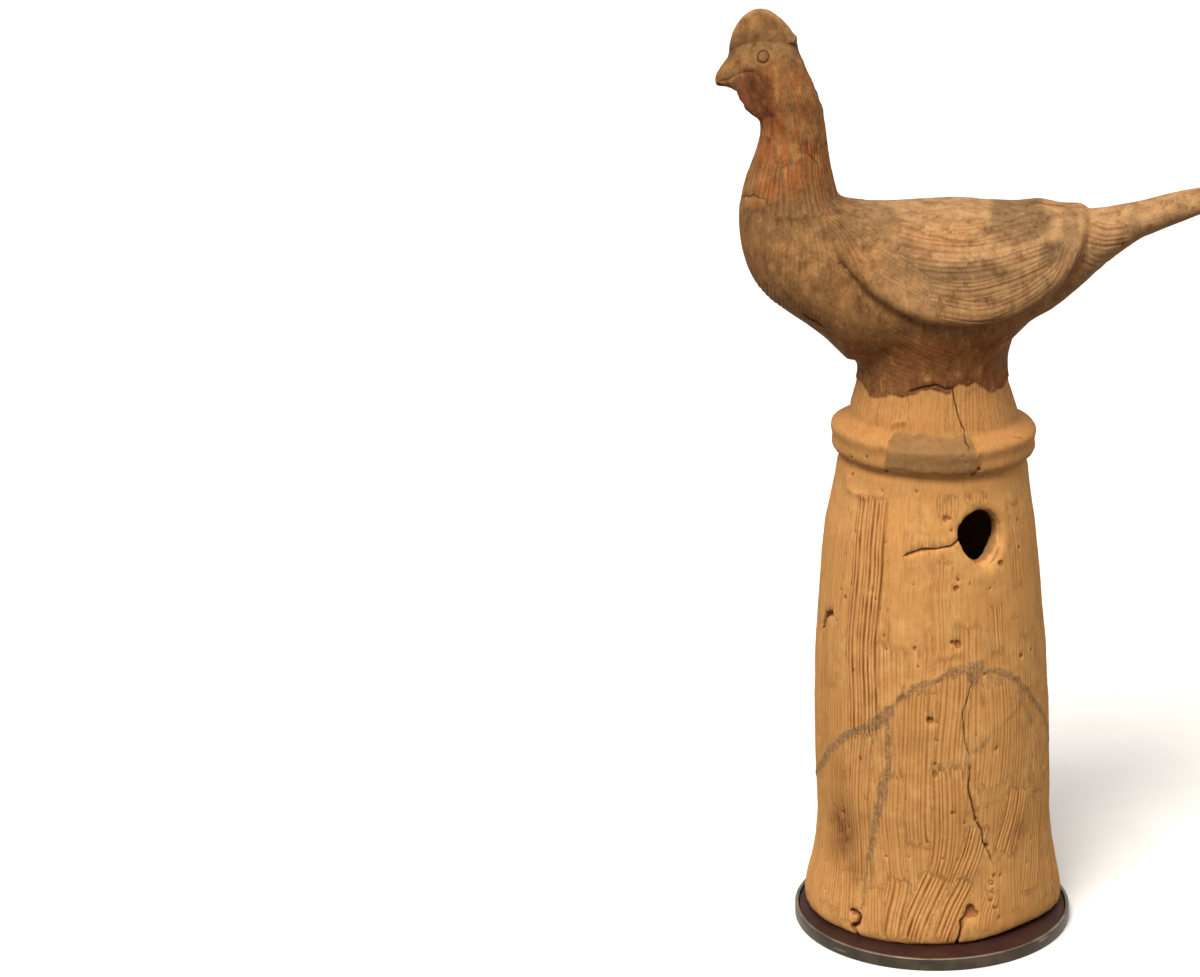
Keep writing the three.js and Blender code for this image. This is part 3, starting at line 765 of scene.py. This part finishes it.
def worked_clay():
    """The clay as one mesh: the CAD's form, rounded, then carved with every mark."""
    thing = joined_cad()
    weld(thing)
    remesh(thing)
    mesh, edges = thing.data, edges_of(thing.data)
    points = rounded_stem(coordinates(mesh))
    z = (points[:, 2] - FOOT) / MM
    outer = outer_points(points, edges)
    keep_outer(mesh, outer)
    weight = np.where(outer, 0.03 + 0.97 * smooth(z, 338, 352) - 0.65 * smooth(z, 488, 500), 1)
    set_points(mesh, smoothed(points, edges, weight, 14))
    modifier = thing.modifiers.new("finer", "SUBSURF")
    modifier.levels = modifier.render_levels = SUBDIVISIONS
    mesh = with_modifiers(thing)
    clay = clay_of(mesh)
    set_points(mesh, coordinates(mesh) + clay.normal * carved(clay)[:, None] * MM)
    modifier = thing.modifiers.new("fewer", "DECIMATE")
    modifier.ratio = CLAY_TRIANGLES / (2 * len(mesh.polygons))
    mesh = with_modifiers(thing)
    mesh.polygons.foreach_set("use_smooth", np.ones(len(mesh.polygons), bool))
    return thing


# ---------- What the materials read from the clay ----------


def nearest_line(clay):
    """The signed distance to the nearest crack or scored line in widths of it, and how dark the painted shade
    in it is there.
    """
    side, away, dark = np.full(len(clay.p), 9.0), np.full(len(clay.p), 9.0), np.zeros(len(clay.p))
    found = [(clay.near_stem_path(path, 6), seed, width, 0.9) for seed, (path, width, _) in enumerate(CRACKS)]
    found += [(clay.near_side_path(path, 6), 40 + seed, width, 0.7)
              for seed, (path, width, _) in enumerate(BIRD_CRACKS)]
    found += [(clay.near_side_path(bent(path, 1.5), 6), 50 + seed, width, darkness)
              for seed, (path, width, darkness) in enumerate(HEAD_LINES)]
    for (near, u, v, path), seed, width, darkness in found:
        amount = 0.8 if seed < 50 else 0.25
        distance, signed, _ = from_path(*wandering(clay, near, u, v, seed, amount), path)
        nearer = (distance < away[near]) & ((seed < 40) | (seed >= 50) | (clay.p[near, 1] < 6))
        uneven = width * (1 + 0.4 * noise(clay.p[near], 5, seed + 70))
        side[near] = np.where(nearer, signed / uneven, side[near])
        dark[near] = np.where(nearer, darkness, dark[near])
        away[near] = np.where(nearer, distance, away[near])
    return side, dark * smooth(2.6 - away, 0, 1)


def stains(clay):
    cover = np.zeros(len(clay.p))
    for azimuth, z, wide, tall, strength in STAINS:
        near, u, v = clay.round_stem(azimuth, z, 2.4 * max(wide, tall))
        rough = 1 + 0.5 * layered(clay.p[near], 9, 61, 3)
        away = np.hypot(u / wide, v / tall)
        cover[near] = np.maximum(cover[near], 0.8 * strength * smooth(1.6 - away, 0, 1.5) * rough)
    return cover


def blob(clay, x, z, wide, tall, sharp=0.5, seed=0):
    """A ragged oval patch on the bird's sides, from 0 to 1."""
    away = np.hypot((clay.p[:, 0] - x) / wide, (clay.p[:, 2] - z) / tall)
    return smooth(1 - away + 0.35 * layered(clay.p, 14, 71 + seed, 3), -sharp / 2, sharp / 2) * clay.bird


def paint(thing):
    """Writes the masks that the clay's material reads."""
    mesh = thing.data
    clay = clay_of(mesh)
    x, _, z = clay.p.T
    line_side, line_dark = nearest_line(clay)
    bird = smooth(clay.above, -0.6, 0.6)
    near, inside, _ = wing_distance(clay)
    wing = np.zeros(len(x))
    # The wing is pale clay behind its front edge; painted light makes its upper part paler than its lower
    # part.
    wing[near] = smooth(inside, -1, 3) * smooth(x[near], -42, 2) * (0.45 + 0.55 * smooth(z[near], 374, 402))
    # The strip along the top of the back is paler: a painted highlight.
    back = smooth(z - np.interp(x, (-50, 190), (427, 440)), -9, -2) * smooth(x, -52, -30)
    pale = np.maximum.reduce([wing, smooth(x, 78, 90), back])
    # Painted shade under the wing and belly, partly real dirt: darker downwards from 382 mm, and more below
    # 366 mm under the wing.
    belly_painted_shade_and_dirt = 0.85 * smooth(382 - z, 0, 30) + 0.5 * smooth(366 - z, 0, 12) * smooth(x, -40, 20)
    red = blob(clay, -84, 468, 24, 34, 0.8, 1) + 0.5 * blob(clay, 4, 416, 22, 8, 0.9, 6)
    wattle = blob(clay, -99, 490, 13, 15, 0.35, 2)
    smudge_and_painted_shade = 0.9 * blob(clay, 49, 423, 15, 12, 0.4, 3) + 0.9 * blob(clay, 66, 407, 9, 6, 0.5, 4)
    smudge_and_painted_shade += 0.8 * blob(clay, 20, 399, 24, 5, 0.7, 6) + 0.7 * blob(clay, -14, 406, 13, 9, 0.7, 7)
    smudge_and_painted_shade += 0.6 * blob(clay, -34, 420, 14, 8, 0.7, 10) + 0.7 * blob(clay, 76, 419, 5, 12, 0.5, 11)
    smudge_and_painted_shade += 0.6 * blob(clay, 112, 418, 3.5, 14, 0.6, 8) + 0.6 * blob(clay, -84, 425, 30, 10, 0.9, 9)
    # A band of painted shade along the foot of the comb.
    smudge_and_painted_shade += 0.8 * bell(from_path(x, z, COMB_FOOT)[0] - 2.5, 3) * clay.bird
    paste = np.maximum(filling_cover(clay, FILLINGS, 7), 0.55 * filling_cover(clay, FAINT_FILLINGS, 8))
    paste = np.maximum(paste, bell(np.hypot(x - CHIP[0], z - CHIP[1]), 1.8))
    # The comb's rim, where it does not face sideways, is paler: partly wear, partly a painted highlight.
    rim = smooth(0.8 - np.abs(clay.normal[:, 1]), 0, 0.4) * smooth(z, 518, 523) * clay.bird
    masks = {
        "relief": marks(clay, fine=True),
        "comb_phase": clay.comb_phase,
        "comb_depth": clay.comb_depth,
        "paste": paste,
        "ring_patch": ring_patch_cover(clay),
        "line_side": line_side,
        "line_dark": line_dark,
        "bird": bird * clay.outer,
        # Pale clay of the wing and tail, with painted light on the wing's upper part, the top of the back and
        # the comb's rim.
        "pale": np.maximum(pale * bird, 0.5 * rim),
        "wattle": wattle,
        "red": np.clip(red, 0, 1),
        "smudge_and_painted_shade": np.clip(smudge_and_painted_shade, 0, 1),
        # Real stains, the painted shade under the bird, and the stem darker from 262 mm up to the join.
        "stain_and_painted_shade": stains(clay) + belly_painted_shade_and_dirt * bird + 0.4 * smooth(z, 262, 285) * (1 - bird),
        "hollow": (~clay.outer).astype(float),
    }
    for name, values in masks.items():
        mesh.attributes.new(name, "FLOAT", "POINT").data.foreach_set("value", values.astype(np.float32))


# ---------- Materials ----------


class Nodes:
    """A node material under construction."""

    def __init__(self, name):
        self.material = bpy.data.materials.new(name)
        self.material.use_nodes = True
        self.tree = self.material.node_tree
        self.shader = self.tree.nodes["Principled BSDF"]
        self.output = self.tree.nodes["Material Output"]

    def add(self, kind, inputs=None, **settings):
        node = self.tree.nodes.new(kind)
        for name, value in settings.items():
            setattr(node, name, value)
        for name, value in (inputs or {}).items():
            if isinstance(value, bpy.types.NodeSocket):
                self.tree.links.new(value, node.inputs[name])
            else:
                node.inputs[name].default_value = value
        return node

    def millimetres(self, scale=(1, 1, 1)):
        """Places on the object, in millimetres, stretched by scale."""
        place = self.add("ShaderNodeTexCoord").outputs["Object"]
        factor = Vector(scale) / MM
        return self.add("ShaderNodeMapping", {"Vector": place, "Scale": factor}).outputs["Vector"]

    def noise(self, size, detail=3, scale=(1, 1, 1), roughness=0.55):
        return self.add("ShaderNodeTexNoise", {"Vector": self.millimetres(scale), "Scale": 1 / size,
                                              "Detail": detail, "Roughness": roughness}).outputs["Fac"]

    def mask(self, name):
        return self.add("ShaderNodeAttribute", attribute_name=name).outputs["Fac"]

    def maths(self, operation, a, b=0.0, clamp=False):
        node = self.add("ShaderNodeMath", {0: a, 1: b}, operation=operation, use_clamp=clamp)
        return node.outputs[0]

    def span(self, value, low, high, to_low=0.0, to_high=1.0, kind="SMOOTHSTEP"):
        node = self.add("ShaderNodeMapRange", {"Value": value, "From Min": low, "From Max": high,
                                               "To Min": to_low, "To Max": to_high}, interpolation_type=kind)
        return node.outputs["Result"]

    def mix(self, share, a, b, blend="MIX"):
        node = self.add("ShaderNodeMix", data_type="RGBA", blend_type=blend)
        for index, value in ((0, share), (6, a), (7, b)):
            if isinstance(value, bpy.types.NodeSocket):
                self.tree.links.new(value, node.inputs[index])
            else:
                node.inputs[index].default_value = value
        return node.outputs[2]

    def product(self, a, b, clamp=False):
        return self.maths("MULTIPLY", a, b, clamp)

    def tinted(self, share, colour, *values):
        """The colour, darkened by another one over a share of the surface."""
        return self.mix(share, colour, self.mix(1.0, colour, rgb(*values), "MULTIPLY"))

    def finish(self, colour, roughness, bumps):
        """Links the shader. The bumps are (height, distance in mm, strength), coarse ones first."""
        self.tree.links.new(colour, self.shader.inputs["Base Color"])
        self.tree.links.new(roughness, self.shader.inputs["Roughness"])
        normal = None
        for height, distance, strength in bumps:
            inputs = {"Height": height, "Distance": distance * MM, "Strength": strength}
            if normal is not None:
                inputs["Normal"] = normal
            normal = self.add("ShaderNodeBump", inputs).outputs["Normal"]
        self.tree.links.new(normal, self.shader.inputs["Normal"])
        return self.material


def rgb(*values):
    """An sRGB colour from 0 to 255 as a linear one."""
    return tuple(((v / 255 + 0.055) / 1.055) ** 2.4 if v > 10 else v / 255 / 12.92 for v in values) + (1.0,)


def clay_material():
    m = Nodes("fired_clay")
    m.shader.inputs["Specular IOR Level"].default_value = 0.22
    broad, patch, speckle = m.noise(38, 4), m.noise(9, 5, roughness=0.65), m.noise(1.3, 3)
    streak = m.noise(1.5, 3, (1, 1, 0.07))
    grain = m.noise(0.55, 2)
    pale = m.mix(m.span(patch, 0.3, 0.72), rgb(198, 140, 78), rgb(220, 168, 103))
    pale = m.mix(m.span(broad, 0.35, 0.7), pale, rgb(207, 149, 85))
    buff = m.mix(m.span(patch, 0.35, 0.7), rgb(163, 123, 82), rgb(189, 149, 104))
    dark = m.mix(m.span(patch, 0.32, 0.68), rgb(122, 84, 48), rgb(166, 122, 74))
    dark = m.mix(m.span(broad, 0.4, 0.62, 0, 0.6), dark, rgb(140, 98, 56))
    bird, light = m.mask("bird"), m.mask("pale")
    colour = m.mix(bird, pale, dark)
    # The pale buff of the wing and tail, with painted light on the wing's upper part, the top of the back and
    # the comb's rim.
    colour = m.mix(m.product(light, 0.92), colour, buff)
    washed = m.span(m.noise(4.5, 4, (1, 1, 0.12), 0.65), 0.42, 0.6, 0.1, 0.75)
    colour = m.mix(m.product(m.mask("red"), washed), colour, rgb(166, 92, 40))
    wattle = m.product(m.mask("wattle"), m.span(patch, 0.3, 0.6, 0.5, 0.9))
    colour = m.mix(wattle, colour, rgb(118, 66, 38))
    # Smudges, and painted shade along the foot of the comb.
    colour = m.mix(m.product(m.mask("smudge_and_painted_shade"), 0.8), colour, rgb(114, 87, 56))
    # Stains, the painted shade under the bird, and a darker upper stem.
    stain_and_painted_shade = m.product(m.mask("stain_and_painted_shade"), m.span(patch, 0.3, 0.65, 0.35, 1.0), clamp=True)
    colour = m.mix(stain_and_painted_shade, colour, rgb(128, 78, 40))
    mottle = m.noise(6, 6, (1, 1, 0.7), 0.72)
    dirt = m.product(bird, m.span(mottle, 0.5, 0.66, 0, 0.6))
    colour = m.tinted(dirt, colour, 168, 138, 104)
    bare = m.product(bird, m.span(mottle, 0.47, 0.33, 0, 0.4))
    colour = m.mix(bare, colour, rgb(204, 148, 88))
    paste = m.mix(m.span(speckle, 0.4, 0.68), rgb(140, 98, 58), rgb(172, 138, 96))
    colour = m.mix(m.product(m.mask("paste"), 0.9), colour, paste)
    repair = m.mix(m.span(patch, 0.35, 0.65), rgb(112, 76, 40), rgb(134, 94, 54))
    colour = m.mix(m.product(m.mask("ring_patch"), 0.85), colour, repair)
    colour = m.tinted(m.span(streak, 0.42, 0.68, 0, 0.3), colour, 214, 190, 160)
    phase = m.mask("comb_phase")
    off = m.maths("ABSOLUTE", m.maths("SUBTRACT", m.maths("FRACT", m.maths("ADD", phase, 0.5)), 0.5))
    uneven = m.add("ShaderNodeTexNoise", {"W": phase, "Scale": 0.83, "Detail": 1.0}, noise_dimensions="1D")
    strength = m.product(m.mask("comb_depth"), m.span(uneven.outputs["Fac"], 0.3, 0.62, 0.35, 1.25))
    groove = m.product(m.span(off, 0.33, 0.08), strength)
    # Painted shade in the comb grooves.
    colour = m.tinted(m.product(groove, 0.8, clamp=True), colour, 166, 122, 88)
    # Painted shade in the grooves, pits and cracks, partly dirt, and a painted highlight on the ridges.
    relief = m.mask("relief")
    colour = m.tinted(m.span(relief, -0.05, -0.55, 0, 0.62), colour, 150, 105, 70)
    high = m.span(relief, 0.05, 0.6, 0, 0.35)
    colour = m.mix(high, colour, m.mix(0.3, colour, rgb(236, 196, 140)))
    colour = m.tinted(m.span(speckle, 0.66, 0.74, 0, 0.5), colour, 150, 112, 84)
    colour = m.mix(m.span(grain, 0.68, 0.76, 0, 0.35), colour, rgb(236, 206, 160))
    # Painted shade along the cracks and scored lines.
    line = m.span(m.maths("ABSOLUTE", m.mask("line_side")), 0.8, 0.35)
    line = m.product(line, m.mask("line_dark"), clamp=True)
    colour = m.mix(line, colour, rgb(58, 34, 20))
    colour = m.mix(m.mask("hollow"), colour, m.mix(0.55, colour, rgb(96, 58, 34)))
    rough = m.span(patch, 0.2, 0.8, 0.78, 0.95)
    scored = m.product(m.maths("ADD", groove, line), -1.0)
    return m.finish(colour, rough, ((patch, 0.8, 0.3), (scored, 0.6, 0.7), (streak, 0.3, 0.35),
                                    (speckle, 0.3, 0.45), (grain, 0.12, 0.4)))


def steel_material():
    m = Nodes("stand_steel")
    m.shader.inputs["Metallic"].default_value = 0.75
    broad, fine = m.noise(14, 5), m.noise(1.1, 4)
    brushed = m.noise(0.8, 3, (0.05, 0.05, 1))
    colour = m.mix(m.span(broad, 0.35, 0.7), rgb(60, 52, 44), rgb(82, 72, 60))
    # The top edge: real wear with a painted highlight on it.
    wear = m.product(m.mask("edge"), m.span(broad, 0.3, 0.6, 0.35, 1.0))
    colour = m.mix(wear, colour, rgb(158, 148, 132))
    scratch = m.span(m.noise(2.2, 3, (0.12, 0.12, 1)), 0.64, 0.7, 0, 0.5)
    colour = m.mix(scratch, colour, rgb(150, 142, 130))
    colour = m.mix(m.span(fine, 0.62, 0.7, 0, 0.5), colour, rgb(46, 34, 26))
    rough = m.span(broad, 0.3, 0.7, 0.34, 0.52)
    return m.finish(colour, rough, ((broad, 0.3, 0.25), (brushed, 0.08, 0.4), (fine, 0.05, 0.3)))


def lining_material():
    m = Nodes("stand_lining")
    m.shader.inputs["Specular IOR Level"].default_value = 0.4
    broad, fine = m.noise(22, 5), m.noise(0.9, 4)
    grain = m.noise(1.6, 4, (0.12, 1, 1))
    colour = m.mix(m.span(broad, 0.3, 0.7), rgb(40, 17, 15), rgb(60, 33, 26))
    colour = m.mix(m.span(grain, 0.4, 0.7, 0, 0.4), colour, rgb(40, 18, 16))
    colour = m.mix(m.span(fine, 0.64, 0.74, 0, 0.5), colour, rgb(120, 90, 66))
    rough = m.span(grain, 0.3, 0.7, 0.42, 0.62)
    return m.finish(colour, rough, ((broad, 0.3, 0.3), (grain, 0.12, 0.4), (fine, 0.05, 0.3)))


def floor_material():
    m = Nodes("studio_floor")
    m.shader.inputs["Specular IOR Level"].default_value = 0.2
    colour = m.mix(m.span(m.noise(60, 3), 0.3, 0.7), rgb(244, 243, 241), rgb(248, 247, 245))
    return m.finish(colour, m.span(m.noise(30, 2), 0.3, 0.7, 0.7, 0.8), ((m.noise(2, 2), 0.05, 0.1),))


# ---------- The stand ----------

STAND_SIDES = 200


def corner(radius, z, size, degrees):
    """A rounded corner of a profile, as (radius, z) points at those angles round its middle."""
    return [(radius + size * math.cos(t), z + size * math.sin(t)) for t in np.radians(degrees)]


def turned(name, profile, worn_and_highlit_from, uneven):
    """A round piece from (radius, z) points, inside its profile. Corners above the given height are worn
    bright and carry a painted highlight.
    """
    rng = np.random.default_rng(len(name))
    phases = rng.uniform(0, 2 * math.pi, 4)
    points, edge, faces = [], [], []
    count = len(profile)
    for i in range(STAND_SIDES):
        turn = 2 * math.pi * i / STAND_SIDES
        sway = sum(math.sin(turn * (k + 2) + phase) / (k + 2) for k, phase in enumerate(phases))
        for radius, z in profile:
            r = radius - uneven * (0.5 + 0.25 * sway) * (radius > 0)
            points.append((r * math.sin(turn), -r * math.cos(turn), z))
            edge.append(float(z > worn_and_highlit_from))
        for k in range(count):
            a, b = i * count + k, i * count + (k + 1) % count
            c, d = [(v + count) % (STAND_SIDES * count) for v in (b, a)]
            faces.append((a, d, c, b))
    mesh = bpy.data.meshes.new(name)
    mesh.from_pydata(points, [], faces)
    mesh.attributes.new("edge", "FLOAT", "POINT").data.foreach_set("value", edge)
    mesh.polygons.foreach_set("use_smooth", [True] * len(mesh.polygons))
    return new_object(name, mesh)


def stand_dish():
    """The steel dish, with rounded edges; its top edge is worn bright and carries a painted highlight."""
    low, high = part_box("stand_dish")
    radius, top = high.x, high.z
    wall, floor_z, foot, lip = 2.3 * MM, 2.5 * MM, 0.8 * MM, 0.7 * MM
    inner = radius - wall
    profile = [(0.5 * MM, low.z), (0.6 * radius, low.z)]
    profile += corner(radius - foot, low.z + foot, foot, (-90, -60, -30, 0))
    profile += [(radius, 0.5 * (low.z + top))]
    profile += corner(radius - lip, top - lip, lip, (0, 30, 60, 90))
    profile += corner(inner + lip, top - lip, lip, (90, 120, 150, 180))
    profile += [(inner, floor_z), (0.6 * radius, floor_z), (0.5 * MM, floor_z)]
    return turned("stand_rim", profile, top - 0.45 * lip, 0.15 * MM)


def stand_lining():
    """The dark disc in the dish."""
    low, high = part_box("stand_lining")
    radius, edge = high.x, 0.5 * MM
    profile = [(0.5 * MM, low.z), (radius, low.z)]
    profile += corner(radius - edge, high.z - edge, edge, (0, 30, 60, 90))
    profile += [(0.75 * radius, high.z), (0.4 * radius, high.z), (0.5 * MM, high.z)]
    return turned("stand_lining_disc", profile, high.z + 1, 0.1 * MM)


def dress(piece, material, slot, *nodes):
    piece.data.materials.clear()
    piece.data.materials.append(material)
    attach(piece, "root")
    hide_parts(*nodes)


clay_piece = worked_clay()
paint(clay_piece)
dress(clay_piece, clay_material(), "fired_clay", *CLAY_NODES)
dress(stand_dish(), steel_material(), "stand_metal", "stand_dish")
dress(stand_lining(), lining_material(), "stand_lining", "stand_lining")

# ---------- Stage, light and camera ----------

FLOOR_SIZE = 16.0
bpy.ops.mesh.primitive_plane_add(size=FLOOR_SIZE, location=(0, 2, 0))
floor = bpy.context.object
floor.name = "studio_floor"
floor.data.materials.append(floor_material())

floor.visible_diffuse = False  # the undersides stay as dark as under a lamp in a dim room


def sun(name, towards, strength, softness, colour):
    light = bpy.data.lights.new(name, "SUN")
    light.energy, light.angle, light.color = strength, softness, colour
    new_object(name, light).rotation_euler = Vector(towards).to_track_quat("Z", "Y").to_euler()


sun("key", (-0.34, -0.74, 1.05), 3.3, 0.5, (1.0, 0.96, 0.9))
sun("side", (0.9, -0.8, 0.7), 0.35, 0.8, (1.0, 0.95, 0.9))


def world():
    """A soft sky, dimmer towards the ground."""
    made = bpy.data.worlds.new("studio")
    made.use_nodes = True
    tree = made.node_tree
    place, split = tree.nodes.new("ShaderNodeTexCoord"), tree.nodes.new("ShaderNodeSeparateXYZ")
    span = tree.nodes.new("ShaderNodeMapRange")
    for name, value in (("From Min", -0.5), ("From Max", 1.0), ("To Min", 0.14), ("To Max", 0.75)):
        span.inputs[name].default_value = value
    tree.links.new(place.outputs["Generated"], split.inputs["Vector"])
    tree.links.new(split.outputs["Z"], span.inputs["Value"])
    tree.links.new(span.outputs["Result"], tree.nodes["Background"].inputs["Strength"])
    tree.nodes["Background"].inputs["Color"].default_value = (1.0, 0.97, 0.93, 1)
    return made


bpy.context.scene.world = world()
bpy.context.scene.view_settings.view_transform = "Standard"

CAMERA_PLACE = Vector((0, -1.82498, 0.85683))
YAW, PITCH, ROLL = 0.104826, 0.311423, -0.0311132  # radians: left, down, clockwise
PICTURE_WIDTH, FOCAL_LENGTH = 1200, 3315.85  # pixels


def photo_camera():
    data = bpy.data.cameras.new("camera")
    data.sensor_width = 36
    data.lens = data.sensor_width * FOCAL_LENGTH / PICTURE_WIDTH
    data.clip_end = 50
    camera = new_object("camera", data)
    forward = Vector((-math.sin(YAW) * math.cos(PITCH), math.cos(YAW) * math.cos(PITCH), -math.sin(PITCH)))
    level = Vector((math.cos(YAW), math.sin(YAW), 0))
    upright = level.cross(forward)
    right = math.cos(ROLL) * level + math.sin(ROLL) * upright
    up = -math.sin(ROLL) * level + math.cos(ROLL) * upright
    turn = Matrix((right, up, -forward)).transposed().to_4x4()
    camera.matrix_world = Matrix.Translation(CAMERA_PLACE) @ turn
    bpy.context.scene.camera = camera


photo_camera()


def corners(box):
    return [[float(value) for value in end] for end in box]
